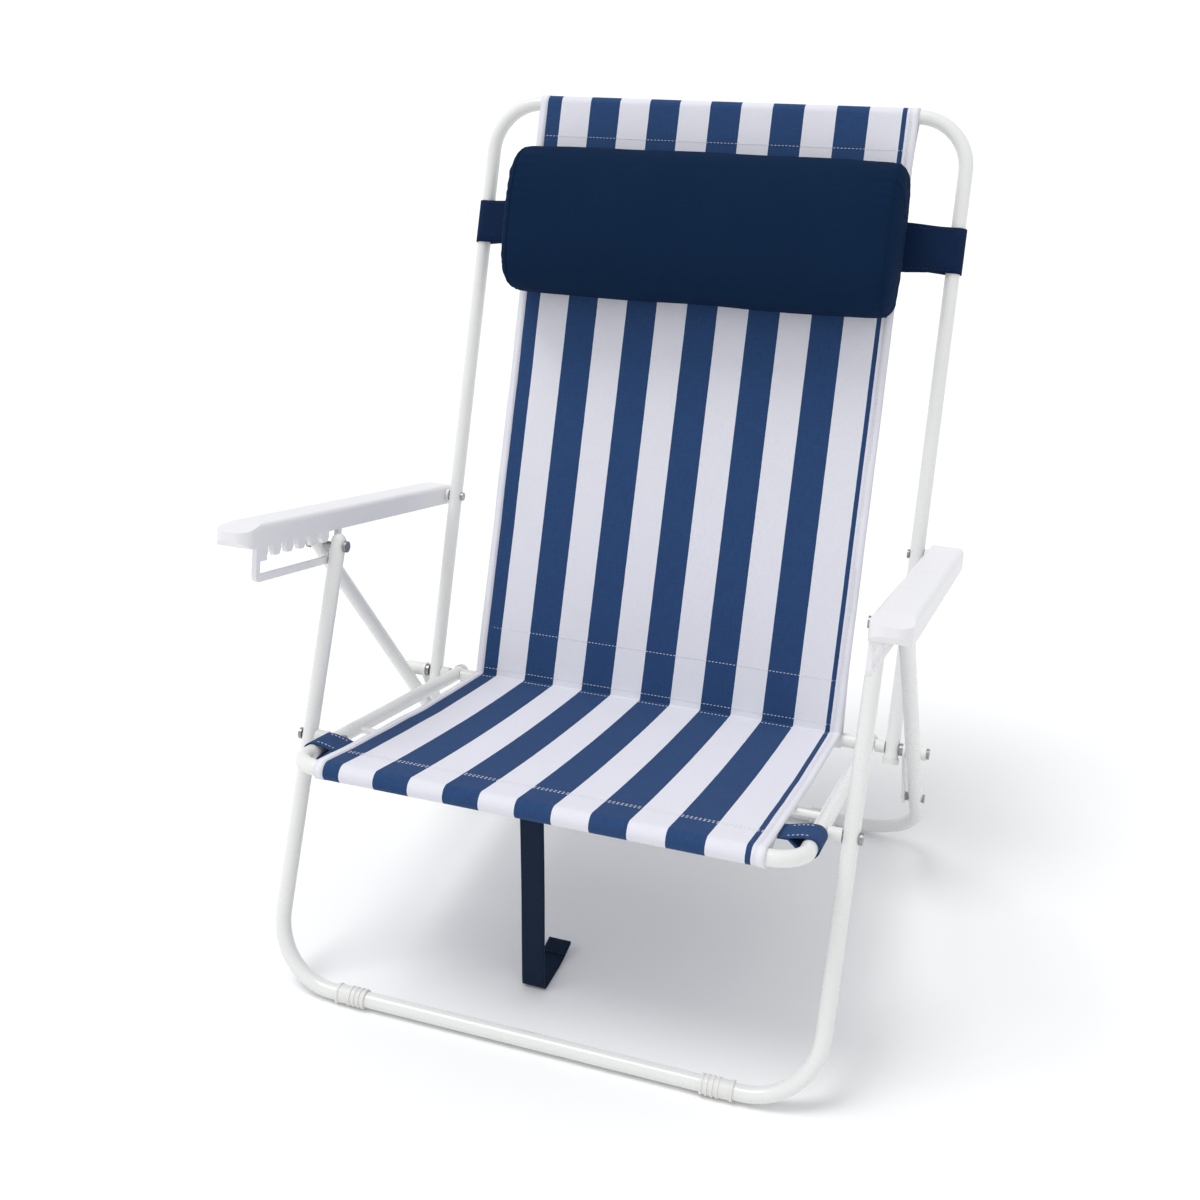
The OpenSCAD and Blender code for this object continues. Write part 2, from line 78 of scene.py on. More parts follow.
class Line:
    """A side-view line: u runs along it from the rear pivot, v stands off it on the sitter's side."""

    def __init__(self, through, sitter_side):
        self.d = d = (through - REAR).yz.normalized()
        self.n = Vector((-d.y, d.x)) * sitter_side

    def at(self, u, v, x=0.0):
        p = Vector((REAR.y, REAR.z)) + self.d * u + self.n * v
        return Vector((x, p.x, p.y))


SEAT = Line(PIVOTS["fold"], -1)
BACK = Line(PIVOTS["left_arm_fold"], 1)
low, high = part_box("seat_frame")
SEAT_LONG = (low.y + TUBE_R - REAR.y) / SEAT.d.x
low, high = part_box("back_frame")
BACK_LONG = (high.z - TUBE_R - REAR.z) / BACK.d.y
RAIL_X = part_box("rail_end_caps")[1].x - 0.0092
BACK_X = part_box("back_end_caps")[1].x - 0.0092
print(f"seat line {SEAT_LONG:.4f} m, back line {BACK_LONG:.4f} m")
print(f"rails at {RAIL_X:.4f} m, back tubes at {BACK_X:.4f} m")

# %% [markdown]
# ## Helpers for cloth
# Cloth on this chair is a long strip that follows a path seen from the side. It could be cut from
# a grid and pushed into place with a modifier, but sweeping the strip along its path in code gives
# exact lengths, clean quads, and a UV map in metres, so a weave keeps its real size everywhere.

# %% Mesh and path helpers
def add_piece(name, verts, faces, uvs=None, smooth=True):
    mesh = bpy.data.meshes.new(name)
    mesh.from_pydata([tuple(v) for v in verts], [], [tuple(f) for f in faces])
    if uvs is not None:
        layer = mesh.uv_layers.new(name="cloth")
        for loop in mesh.loops:
            layer.data[loop.index].uv = uvs[loop.vertex_index]
    mesh.polygons.foreach_set("use_smooth", [smooth] * len(mesh.polygons))
    mesh.update()
    obj = bpy.data.objects.new(name, mesh)
    bpy.context.scene.collection.objects.link(obj)
    return obj


def lengths(path):
    """Running length along a list of (y, z) points."""
    p = np.array(path, float)
    return np.concatenate([[0.0], np.cumsum(np.linalg.norm(np.diff(p, axis=0), axis=1))])


def normals(path):
    """Unit normals of a side-view path, to the left of its direction."""
    t = np.gradient(path, axis=0)
    t /= np.linalg.norm(t, axis=1)[:, None] + 1e-12
    return np.stack([-t[:, 1], t[:, 0]], axis=1)


def strip(name, path, xs, thick, wave=None):
    """A closed strip of cloth: the path swept over the x positions, with a top and an under side."""
    path = np.array(path, float)
    nrm, run = normals(path), lengths(path)
    rows, cols = len(path), len(xs)
    verts, uvs = [], []
    for side in (1, -1):
        for i in range(rows):
            for x in xs:
                lift = side * thick / 2 + (wave(x, run[i], run[-1]) if wave else 0.0)
                y, z = path[i] + nrm[i] * lift
                verts.append((x, y, z))
                uvs.append((x, run[i]))
    half = rows * cols
    faces = []
    for i in range(rows - 1):
        for j in range(cols - 1):
            a = i * cols + j
            faces.append((a, a + 1, a + cols + 1, a + cols))
            faces.append((half + a, half + a + cols, half + a + cols + 1, half + a + 1))
    for i in range(rows - 1):
        for j in (0, cols - 1):
            a, b = i * cols + j, (i + 1) * cols + j
            q = (a, b, half + b, half + a)
            faces.append(q if j == 0 else q[::-1])
    for j in range(cols - 1):
        for i in (0, rows - 1):
            a, b = i * cols + j, i * cols + j + 1
            q = (a, half + a, half + b, b)
            faces.append(q if i == 0 else q[::-1])
    return add_piece(name, verts, faces, uvs)


def stitches(name, rows, long=0.0030, gap=0.0012, wide=0.0008, high=0.0005):
    """Rows of sewn stitches. Each row is a list of (point, normal) pairs; every stitch is a small
    pointed bead that dips into the cloth at both ends."""
    ring = 6
    verts, faces = [], []
    for row in rows:
        pts = np.array([p for p, _ in row], float)
        nrm = np.array([n for _, n in row], float)
        run = np.concatenate([[0.0], np.cumsum(np.linalg.norm(np.diff(pts, axis=0), axis=1))])
        count = int(run[-1] / (long + gap))
        for k in range(count):
            s0 = (k + 0.5) * run[-1] / count
            ends = []
            for s in (s0 - long / 2, s0, s0 + long / 2):
                ends.append(np.array([np.interp(s, run, pts[:, c]) for c in range(3)]))
            n = np.array([np.interp(s0, run, nrm[:, c]) for c in range(3)])
            n /= np.linalg.norm(n)
            t = ends[2] - ends[0]
            t /= np.linalg.norm(t) + 1e-12
            b = np.cross(t, n)
            base = len(verts)
            verts.append(tuple(ends[0] - n * high * 0.4))
            for share in (0.25, 0.75):
                c = ends[0] + (ends[2] - ends[0]) * share + n * high * 0.25
                for a in range(ring):
                    w = 2 * math.pi * a / ring
                    verts.append(tuple(c + b * math.cos(w) * wide / 2 + n * math.sin(w) * high))
            verts.append(tuple(ends[2] - n * high * 0.4))
            for a in range(ring):
                c = (a + 1) % ring
                faces.append((base, base + 1 + c, base + 1 + a))
                faces.append((base + 1 + a, base + 1 + c, base + 1 + ring + c, base + 1 + ring + a))
                faces.append((base + 1 + ring + a, base + 1 + ring + c, base + 1 + 2 * ring))
    obj = add_piece(name, verts, faces)
    print(f"{name}: {len(rows)} rows, {len(verts) // (2 * ring + 2)} stitches")
    return obj

# %% [markdown]
# ## Effects that several finishes share
# Real surfaces are never one colour. Three small effects do most of the work here: a weave for all
# the cloth, a mottle that gives paint, plastic and steel their uneven skin, and a heather that makes
# dyed yarn lighter and darker along its length. Each is a node group, built once and set per material.

# %% Node group helpers
def new_group(name, inputs, outputs):
    tree = bpy.data.node_groups.new(name, "ShaderNodeTree")
    for socket, kind, value in inputs:
        s = tree.interface.new_socket(socket, in_out="INPUT", socket_type=kind)
        if value is not None:
            s.default_value = value
    for socket, kind in outputs:
        tree.interface.new_socket(socket, in_out="OUTPUT", socket_type=kind)
    return tree, tree.nodes.new("NodeGroupInput"), tree.nodes.new("NodeGroupOutput")


def math_node(tree, operation, *values, clamp=False):
    node = tree.nodes.new("ShaderNodeMath")
    node.operation = operation
    node.use_clamp = clamp
    for k, value in enumerate(values):
        if isinstance(value, (int, float)):
            node.inputs[k].default_value = value
        else:
            tree.links.new(value, node.inputs[k])
    return node.outputs[0]


def scaled(tree, vector, x, y, z=1.0):
    node = tree.nodes.new("ShaderNodeMapping")
    node.inputs["Scale"].default_value = (x, y, z)
    tree.links.new(vector, node.inputs["Vector"])
    return node.outputs[0]


def noise(tree, vector, scale, detail=2.0, rough=0.5):
    node = tree.nodes.new("ShaderNodeTexNoise")
    node.inputs["Scale"].default_value = scale
    node.inputs["Detail"].default_value = detail
    node.inputs["Roughness"].default_value = rough
    tree.links.new(vector, node.inputs["Vector"])
    return node.outputs["Fac"]

# %% The weave group
def make_weave():
    """Plain weave: warp and weft threads that pass over and under each other."""
    tree, gi, go = new_group(
        "Weave",
        [("Vector", "NodeSocketVector", None), ("Threads per metre", "NodeSocketFloat", 1000.0),
         ("Unevenness", "NodeSocketFloat", 0.5)],
        [("Height", "NodeSocketFloat"), ("Shade", "NodeSocketFloat")])
    split = tree.nodes.new("ShaderNodeSeparateXYZ")
    wobble = noise(tree, gi.outputs["Vector"], 260.0, 1.0)
    push = math_node(tree, "MULTIPLY", math_node(tree, "SUBTRACT", wobble, 0.5), gi.outputs["Unevenness"])
    tree.links.new(gi.outputs["Vector"], split.inputs[0])
    turns = math_node(tree, "MULTIPLY", gi.outputs["Threads per metre"], math.pi)
    waves = []
    for axis in (0, 1):
        phase = math_node(tree, "ADD", math_node(tree, "MULTIPLY", split.outputs[axis], turns), push)
        wave = math_node(tree, "SINE", phase)
        waves.append((wave, math_node(tree, "ABSOLUTE", wave)))
    over = math_node(tree, "MULTIPLY", waves[0][0], waves[1][0])
    body = math_node(tree, "MULTIPLY", waves[0][1], waves[1][1])
    height = math_node(tree, "ADD", math_node(tree, "MULTIPLY", over, 0.25),
                       math_node(tree, "MULTIPLY", body, 0.75))
    shade = math_node(tree, "ADD", math_node(tree, "MULTIPLY", body, 0.5), 0.5, clamp=True)
    tree.links.new(height, go.inputs["Height"])
    tree.links.new(shade, go.inputs["Shade"])
    return tree


WEAVE = make_weave()

# %% The heather group
def make_heather():
    """Yarn that took the dye unevenly: short streaks along the warp and the weft."""
    tree, gi, go = new_group(
        "Heather", [("Vector", "NodeSocketVector", None), ("Amount", "NodeSocketFloat", 0.5)],
        [("Tone", "NodeSocketFloat"), ("Streak", "NodeSocketFloat")])
    along = noise(tree, scaled(tree, gi.outputs["Vector"], 900.0, 60.0), 1.0, 2.0, 0.6)
    across = noise(tree, scaled(tree, gi.outputs["Vector"], 60.0, 900.0), 1.0, 2.0, 0.6)
    broad = noise(tree, gi.outputs["Vector"], 14.0, 2.0)
    streak = math_node(tree, "MULTIPLY", math_node(tree, "ADD", along, across), 0.5)
    spread = math_node(tree, "MULTIPLY", math_node(tree, "SUBTRACT", streak, 0.5), gi.outputs["Amount"])
    cloud = math_node(tree, "MULTIPLY", math_node(tree, "SUBTRACT", broad, 0.5), 0.12)
    tone = math_node(tree, "ADD", math_node(tree, "ADD", spread, cloud), 1.0)
    tree.links.new(tone, go.inputs["Tone"])
    tree.links.new(streak, go.inputs["Streak"])
    return tree


HEATHER = make_heather()

# %% The mottle group
def make_mottle():
    """The uneven skin of a sprayed, moulded or rolled surface, with a little dust and rubbing."""
    tree, gi, go = new_group(
        "Mottle",
        [("Vector", "NodeSocketVector", None), ("Grain per metre", "NodeSocketFloat", 900.0),
         ("Dust", "NodeSocketFloat", 0.3)],
        [("Tone", "NodeSocketFloat"), ("Roughness", "NodeSocketFloat"), ("Height", "NodeSocketFloat")])
    fine = tree.nodes.new("ShaderNodeTexNoise")
    fine.inputs["Detail"].default_value = 2.0
    tree.links.new(gi.outputs["Vector"], fine.inputs["Vector"])
    tree.links.new(gi.outputs["Grain per metre"], fine.inputs["Scale"])
    broad = noise(tree, gi.outputs["Vector"], 18.0, 4.0, 0.6)
    patches = math_node(tree, "MAXIMUM", math_node(tree, "SUBTRACT", broad, 0.52), 0.0)
    dusty = math_node(tree, "MULTIPLY", patches, gi.outputs["Dust"])
    tree.links.new(math_node(tree, "SUBTRACT", 1.0, dusty), go.inputs["Tone"])
    tree.links.new(math_node(tree, "ADD", math_node(tree, "MULTIPLY", dusty, 1.5),
                             math_node(tree, "MULTIPLY", fine.outputs["Fac"], 0.08)), go.inputs["Roughness"])
    tree.links.new(fine.outputs["Fac"], go.inputs["Height"])
    return tree


MOTTLE = make_mottle()
print("node groups:", [g.name for g in bpy.data.node_groups])

# %% [markdown]
# ## Hard finishes
# The frame is steel tube with a glossy white powder coat, the arms and sleeves are white moulded
# plastic with a softer shine, and the bolts are bare steel. All three are one Principled shader
# each, with the mottle group moving colour, roughness and a very fine bump.

# %% Hard materials
def new_material(name):
    mat = bpy.data.materials.new(name)
    mat.use_nodes = True
    tree = mat.node_tree
    return mat, tree, tree.nodes["Principled BSDF"]


def place(tree, group, **values):
    node = tree.nodes.new("ShaderNodeGroup")
    node.node_tree = group
    for key, value in values.items():
        node.inputs[key.replace("_", " ")].default_value = value
    return node


def tinted(tree, tone, colour):
    """A colour multiplied by a tone that changes over the surface."""
    node = tree.nodes.new("ShaderNodeMix")
    node.data_type = "RGBA"
    node.blend_type = "MULTIPLY"
    node.inputs["Factor"].default_value = 1.0
    if isinstance(colour, tuple):
        node.inputs[6].default_value = (*colour, 1.0)
    else:
        tree.links.new(colour, node.inputs[6])
    grey = tree.nodes.new("ShaderNodeCombineColor")
    for k in range(3):
        tree.links.new(tone, grey.inputs[k])
    tree.links.new(grey.outputs[0], node.inputs[7])
    return node.outputs[2]


def bump(tree, shader, height, distance, strength=1.0):
    node = tree.nodes.new("ShaderNodeBump")
    node.inputs["Distance"].default_value = distance
    node.inputs["Strength"].default_value = strength
    tree.links.new(height, node.inputs["Height"])
    tree.links.new(node.outputs[0], shader.inputs["Normal"])


def hard_finish(name, colour, rough, grain, dust, relief, metallic=0.0, coat=0.0):
    mat, tree, shader = new_material(name)
    where = tree.nodes.new("ShaderNodeTexCoord")
    skin = place(tree, MOTTLE, Grain_per_metre=grain, Dust=dust)
    tree.links.new(where.outputs["Object"], skin.inputs["Vector"])
    tree.links.new(tinted(tree, skin.outputs["Tone"], colour), shader.inputs["Base Color"])
    tree.links.new(math_node(tree, "ADD", skin.outputs["Roughness"], rough), shader.inputs["Roughness"])
    bump(tree, shader, skin.outputs["Height"], relief, 0.5)
    shader.inputs["Metallic"].default_value = metallic
    shader.inputs["Coat Weight"].default_value = coat
    shader.inputs["Coat Roughness"].default_value = 0.08
    return mat


POWDER_COAT = hard_finish("powder_coat", (0.77, 0.77, 0.76), 0.24, 700.0, 0.10, 0.00008, coat=0.20)
ARM_PLASTIC = hard_finish("arm_plastic", (0.79, 0.785, 0.81), 0.38, 1500.0, 0.08, 0.00012)
SLEEVE_PLASTIC = hard_finish("sleeve_plastic", (0.74, 0.74, 0.72), 0.42, 1800.0, 0.20, 0.00010)
BOLT_STEEL = hard_finish("bolt_steel", (0.34, 0.34, 0.35), 0.30, 2500.0, 0.6, 0.00006, metallic=1.0)

FINISH_OF_SLOT = {"frame_steel": POWDER_COAT, "arm_plastic": ARM_PLASTIC,
                  "small_plastic": SLEEVE_PLASTIC, "bolt_steel": BOLT_STEEL}
slot_of = {row["node"]: row["material_slot"] for row in frame["record"]["subparts"]}
for node, obj in frame["nodes"].items():
    finish = FINISH_OF_SLOT.get(slot_of[node])
    if finish:
        obj.data.materials.clear()
        obj.data.materials.append(finish)
        obj.data.polygons.foreach_set("material_index", [0] * len(obj.data.polygons))
print("hard finishes on", sum(slot_of[n] in FINISH_OF_SLOT for n in frame["nodes"]), "nodes")

# %% [markdown]
# ## Cloth finishes
# The sling is woven polyester, striped across its width. The stripes could be a picture, but their
# edges are straight and their widths are known, so a stepped colour ramp over the cloth's own width
# draws them exactly. The pillow's cloth is finer and plain, and the straps are ribbed webbing.

# %% Stripe layout
NAVY = (0.022, 0.060, 0.165)
STRIPE_WHITE = (0.76, 0.76, 0.83)
BINDING_WHITE = (0.80, 0.80, 0.86)
STRIPE = 0.0368
FIRST_STRIPE = -0.1985
edges = [(-HALF_CLOTH, "white"), (-0.2155, "navy")]
for k in range(11):
    edges.append((FIRST_STRIPE + k * STRIPE, "white" if k % 2 == 0 else "navy"))
edges += [(FIRST_STRIPE + 11 * STRIPE, "navy"), (0.2115, "white")]
print("stripe edges (m):", [(round(x, 4), c) for x, c in edges])

# %% Cloth materials
def stripe_colour(tree, across, reach):
    """White and navy steps over the width, from -reach to reach."""
    share = math_node(tree, "ADD", math_node(tree, "MULTIPLY", across, 0.5 / reach), 0.5)
    ramp = tree.nodes.new("ShaderNodeValToRGB")
    ramp.color_ramp.interpolation = "CONSTANT"
    stops = ramp.color_ramp.elements
    for k, (x, colour) in enumerate(edges):
        spot = max(0.0, x / (2 * reach) + 0.5)
        stop = stops[k] if k < 2 else stops.new(spot)
        stop.position = spot
    for k, (x, colour) in enumerate(edges):
        stops[k].color = (*(NAVY if colour == "navy" else STRIPE_WHITE), 1.0)
    tree.links.new(share, ramp.inputs["Fac"])
    return ramp.outputs["Color"]


def cloth_finish(name, colour, threads, heather, relief, sheen, rough=0.85, striped=False, shade=0.35,
                 shine=0.25):
    mat, tree, shader = new_material(name)
    where = tree.nodes.new("ShaderNodeTexCoord")
    flat = where.outputs["UV"]
    weave = place(tree, WEAVE, Threads_per_metre=threads, Unevenness=1.2)
    yarn = place(tree, HEATHER, Amount=heather)
    tree.links.new(flat, weave.inputs["Vector"])
    tree.links.new(flat, yarn.inputs["Vector"])
    yarn_tone = yarn.outputs["Tone"]
    if striped:
        split = tree.nodes.new("ShaderNodeSeparateXYZ")
        tree.links.new(flat, split.inputs[0])
        frayed = math_node(tree, "MULTIPLY", math_node(tree, "SUBTRACT", yarn.outputs["Streak"], 0.5), 0.0009)
        colour = stripe_colour(tree, math_node(tree, "ADD", split.outputs[0], frayed), HALF_CLOTH)
        parts = tree.nodes.new("ShaderNodeSeparateColor")
        tree.links.new(colour, parts.inputs[0])
        white = math_node(tree, "MULTIPLY", parts.outputs[0], 1.2)
        dyed = math_node(tree, "SUBTRACT", 1.0, white, clamp=True)
        spread = math_node(tree, "MULTIPLY", math_node(tree, "SUBTRACT", yarn_tone, 1.0), dyed)
        yarn_tone = math_node(tree, "ADD", spread, 1.0)
    between = math_node(tree, "MULTIPLY", weave.outputs["Shade"], shade)
    dark = math_node(tree, "ADD", between, 1.0 - shade * 0.8)
    tone = math_node(tree, "MULTIPLY", dark, yarn_tone)
    tree.links.new(tinted(tree, tone, colour), shader.inputs["Base Color"])
    shader.inputs["Roughness"].default_value = rough
    shader.inputs["Sheen Weight"].default_value = sheen
    shader.inputs["Sheen Roughness"].default_value = 0.45
    shader.inputs["Specular IOR Level"].default_value = shine
    bump(tree, shader, weave.outputs["Height"], relief, 0.8)
    return mat


SLING_CLOTH = cloth_finish("striped_cloth", NAVY, 800.0, 0.9, 0.00022, 0.03, striped=True, shine=0.15)
BAND_CLOTH = cloth_finish("navy_cloth", NAVY, 800.0, 0.9, 0.00022, 0.03, shine=0.15)
BINDING_CLOTH = cloth_finish("white_binding", BINDING_WHITE, 1100.0, 0.08, 0.00020, 0.03)
PILLOW_CLOTH = cloth_finish("pillow_cloth", (0.0052, 0.0185, 0.052), 1500.0, 0.35, 0.00012, 0.0, shine=0.04)
WEBBING = cloth_finish("webbing", (0.0095, 0.020, 0.044), 500.0, 0.4, 0.00045, 0.02, shine=0.12)
STRAP_CLOTH = cloth_finish("strap_cloth", (0.0055, 0.0185, 0.060), 1200.0, 0.35, 0.00018, 0.0, shine=0.10)
THREAD = cloth_finish("sewing_thread", (0.74, 0.74, 0.80), 2200.0, 0.1, 0.00005, 0.0)
NAVY_THREAD = cloth_finish("navy_thread", (0.012, 0.030, 0.085), 2200.0, 0.1, 0.00005, 0.1)
print("materials:", sorted(m.name for m in bpy.data.materials if m.users))

# %% [markdown]
# ## The sling panels
# The seat and the back are each one length of striped cloth, pulled round a tube at one end and sewn
# back on itself. The back's lower end makes a sleeve for the rear cross tube, and the seat's rear edge
# is sewn onto that sleeve, which is where the crease is. Each panel is one path seen from the side:
# hem, loop round the tube, long web, and loop or seam at the other end.

# %% The sling's side paths
CLOTH_T = 0.0012
LOOP_R = TUBE_R + 0.0010
SEAT_SAG = 0.0040
BACK_SAG = 0.0022
FRONT_HEM = 0.038
TOP_HEM = 0.040
SLEEVE_HEM = 0.066


def web_v(u, long, sag):
    """How far the web stands off its line: it sags between the tubes."""
    share = min(1.0, max(0.0, u / long))
    return LOOP_R - sag * 4 * share * (1 - share)


def loop_round(centre, radius, stitch, stitch_v, way, end=0.008, arc=7.5):
    """(u, v) points from the top of a tube round its far side and back to a stitch line, and on to
    the hem. way is 1 if the tube is past the web's far end, and -1 if it is before its near end."""
    du, dv = -abs(stitch - centre), stitch_v
    turn = math.degrees(math.atan2(dv, du) + math.acos(radius / math.hypot(du, dv))) - 360
    count = int((90 - turn) / arc)
    pts = []
    for k in range(count + 1):
        a = math.radians(90 + (turn - 90) * k / count)
        pts.append((centre + way * radius * math.cos(a), radius * math.sin(a)))
    pts.append((stitch, stitch_v))
    pts.append((stitch - way * end, stitch_v))
    return pts


def web_points(start, stop, long, sag, step=0.008):
    count = int(abs(stop - start) / step)
    return [(start + (stop - start) * k / count, web_v(start + (stop - start) * k / count, long, sag))
            for k in range(count + 1)]


def in_side_view(line, points):
    return [tuple(line.at(u, v).yz) for u, v in points]


front_loop = loop_round(SEAT_LONG, LOOP_R, SEAT_LONG - FRONT_HEM,
                        web_v(SEAT_LONG - FRONT_HEM, SEAT_LONG, SEAT_SAG) - CLOTH_T * 1.15, 1)
seat_uv = front_loop[::-1] + web_points(SEAT_LONG - 0.004, 0.012, SEAT_LONG, SEAT_SAG) + [(0.004, 0.0101)]
top_loop = loop_round(BACK_LONG, LOOP_R, BACK_LONG - TOP_HEM,
                      web_v(BACK_LONG - TOP_HEM, BACK_LONG, BACK_SAG) - CLOTH_T * 1.15, 1)
sleeve = loop_round(0.0, LOOP_R, SLEEVE_HEM, web_v(SLEEVE_HEM, BACK_LONG, BACK_SAG) - CLOTH_T * 1.15, -1)
back_uv = top_loop[::-1] + web_points(BACK_LONG - 0.004, 0.004, BACK_LONG, BACK_SAG) + sleeve
SEAT_PATH = in_side_view(SEAT, seat_uv)
BACK_PATH = in_side_view(BACK, back_uv)

# %% Sew the panels
def edge_wave(seed):
    """Cut edges that a tight sling leaves a little wavy."""
    rng = random.Random(seed)
    phase = [rng.uniform(0, 2 * math.pi) for _ in range(4)]

    def wave(x, run, total):
        side = 0 if x < 0 else 2
        near = (abs(x) / HALF_CLOTH) ** 6
        ends = min(1.0, max(0.0, (min(run, total - run) - 0.10) / 0.08))
        ripple = math.sin(run * 31 + phase[side]) + 0.6 * math.sin(run * 67 + phase[side + 1])
        return 0.0007 * near * ends * ripple

    return wave


ACROSS = list(np.linspace(-HALF_CLOTH, HALF_CLOTH, 37))
BINDING_W = 0.0085


def panel(name, path, seed):
    wave = edge_wave(seed)
    cloth = strip(name, path, ACROSS, CLOTH_T, wave)
    cloth.data.materials.append(SLING_CLOTH)
    tapes = []
    for side, word in ((-1, "left"), (1, "right")):
        xs = [side * (HALF_CLOTH - BINDING_W), side * (HALF_CLOTH - 0.004), side * (HALF_CLOTH + 0.0006)]
        tape = strip(f"{name}_{word}_binding", path, sorted(xs), CLOTH_T + 0.0010, wave)
        tape.data.materials.append(BINDING_CLOTH)
        tapes.append(tape)
    return cloth, tapes


seat_sling, seat_tapes = panel("seat_sling", SEAT_PATH, 3)
back_sling, back_tapes = panel("back_sling", BACK_PATH, 8)
print("panels:", [o.name for o in (seat_sling, back_sling, *seat_tapes, *back_tapes)])

# %% [markdown]
# ## Stitching
# White thread crosses the stripes wherever two layers are sewn, and it is the detail the eye finds
# first on a plain cloth. A dashed texture would do from far off, but small beads of real geometry
# catch the light and stay sharp close up, so each stitch is modelled.

# %% Rows of stitches on the panels
def cross_row(line, u, long, sag, reach=HALF_CLOTH - 0.002):
    v = web_v(u, long, sag) + CLOTH_T / 2
    n = Vector((0, line.n.x, line.n.y))
    return [(line.at(u, v, x), n) for x in np.linspace(-reach, reach, 12)]


def edge_row(line, x, start, stop, long, sag, wave, run_of):
    n = Vector((0, line.n.x, line.n.y))
    row = []
    for u in np.linspace(start, stop, 60):
        v = web_v(u, long, sag) + CLOTH_T / 2 + 0.0005 + wave(x, run_of(u), run_of(0))
        row.append((line.at(u, v, x), n))
    return row


rows = [cross_row(SEAT, SEAT_LONG - FRONT_HEM + d, SEAT_LONG, SEAT_SAG) for d in (-0.002, 0.002)]
rows.append(cross_row(SEAT, 0.016, SEAT_LONG, SEAT_SAG))
seat_run = float(lengths(in_side_view(SEAT, front_loop))[-1])
for x in (-1, 1):
    rows.append(edge_row(SEAT, x * (HALF_CLOTH - 0.0065), SEAT_LONG - 0.006, 0.02, SEAT_LONG, SEAT_SAG,
                         edge_wave(3), lambda u: seat_run + (SEAT_LONG - u)))
seat_thread = stitches("seat_stitching", rows)
rows = [cross_row(BACK, u, BACK_LONG, BACK_SAG) for u in (BACK_LONG - TOP_HEM, SLEEVE_HEM, 0.016)]
back_run = float(lengths(in_side_view(BACK, top_loop))[-1])
for x in (-1, 1):
    rows.append(edge_row(BACK, x * (HALF_CLOTH - 0.0065), BACK_LONG - 0.006, 0.02, BACK_LONG, BACK_SAG,
                         edge_wave(8), lambda u: back_run + (BACK_LONG - u)))
back_thread = stitches("back_stitching", rows)
for obj in (seat_thread, back_thread):
    obj.data.materials.append(THREAD)

# %% Hang the back panel on its body; the seat panel stays in place
for piece in (seat_sling, *seat_tapes, seat_thread):
    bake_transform(piece)
for piece in (back_sling, *back_tapes, back_thread):
    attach(piece, "back")
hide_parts("seat_fabric")
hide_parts("back_fabric")

# %% [markdown]
# ## Bands that run from tube to tube
# Two bands cross the chair: one under the front of the seat, which stops the rails spreading and
# carries the closing strap, and one that holds the pillow. Each end goes round its tube and is sewn
# back on itself, so the same loop helper serves, this time in a cross-section of the chair.

# %% Band helper
def band(name, line, u_mid, width, tube_x, web_of_x, radius, thick, sewn, material, spread=None):
    """A band swept along u: its path lies across the chair, in (x, v). spread(x) widens it."""
    ring = loop_round(tube_x, radius, tube_x - sewn, web_of_x(tube_x - sewn) - thick * 1.15, 1)
    xs = np.linspace(tube_x - 0.006, 0.0, 26)
    half = ring[::-1] + [(float(x), web_of_x(float(x))) for x in xs]
    path = np.array([(-x, v) for x, v in half] + half[::-1][1:], float)
    nrm, run = normals(path), lengths(path)
    verts, uvs, cols = [], [], 7
    for side in (1, -1):
        for i, (x, v) in enumerate(path):
            wide = width * (spread(abs(x)) if spread else 1.0)
            for c in range(cols):
                w = (c / (cols - 1) - 0.5) * wide
                p = line.at(u_mid + w, v + nrm[i][1] * side * thick / 2, x + nrm[i][0] * side * thick / 2)
                verts.append(p)
                uvs.append(((c / (cols - 1) - 0.5) * width, run[i]))
    half_n, rows_n = len(path) * cols, len(path)
    faces = []
    for i in range(rows_n - 1):
        for c in range(cols - 1):
            a = i * cols + c
            faces.append((a, a + 1, a + cols + 1, a + cols))
            faces.append((half_n + a, half_n + a + cols, half_n + a + cols + 1, half_n + a + 1))
        for c in (0, cols - 1):
            a, b = i * cols + c, (i + 1) * cols + c
            q = (a, b, half_n + b, half_n + a)
            faces.append(q if c == 0 else q[::-1])
    for c in range(cols - 1):
        for i in (0, rows_n - 1):
            a, b = i * cols + c, i * cols + c + 1
            q = (a, half_n + a, half_n + b, b)
            faces.append(q if i == 0 else q[::-1])
    obj = add_piece(name, verts, faces, uvs)
    obj.data.materials.append(material)
    print(f"{name}: {run[-1]:.3f} m long, {width:.3f} m wide")
    return obj, float(run[-1])


def smooth_step(x, low, high):
    s = min(1.0, max(0.0, (x - low) / (high - low)))
    return s * s * (3 - 2 * s)

# %% The band under the seat
BAND_W = 0.038
BAND_U = (PIVOTS["fold"] - REAR).length + 0.029
BAND_T = 0.0014


def seat_band_v(x):
    return 0.0038 + (0.0093 - 0.0038) * smooth_step(abs(x), HALF_CLOTH - 0.002, RAIL_X - 0.004)


BAND_LOOP_R = 0.0093
BAND_SEWN = 0.020
seat_band, band_cut = band(
    "seat_band", SEAT, BAND_U, BAND_W, RAIL_X, seat_band_v, BAND_LOOP_R, BAND_T, BAND_SEWN, BAND_CLOTH)
band_rows = []
for side in (-1, 1):
    for w in (-0.014, 0.014):
        pts = []
        for x in np.linspace(RAIL_X - 0.023, RAIL_X - 0.002, 8):
            on_top = SEAT.at(BAND_U + w, seat_band_v(x) + BAND_T / 2, side * x)
            pts.append((on_top, Vector((0, SEAT.n.x, SEAT.n.y))))
        band_rows.append(pts)
band_thread = stitches("band_stitching", band_rows)
band_thread.data.materials.append(THREAD)
for piece in (seat_band, band_thread):
    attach(piece, "seat")
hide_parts("under_seat_band")

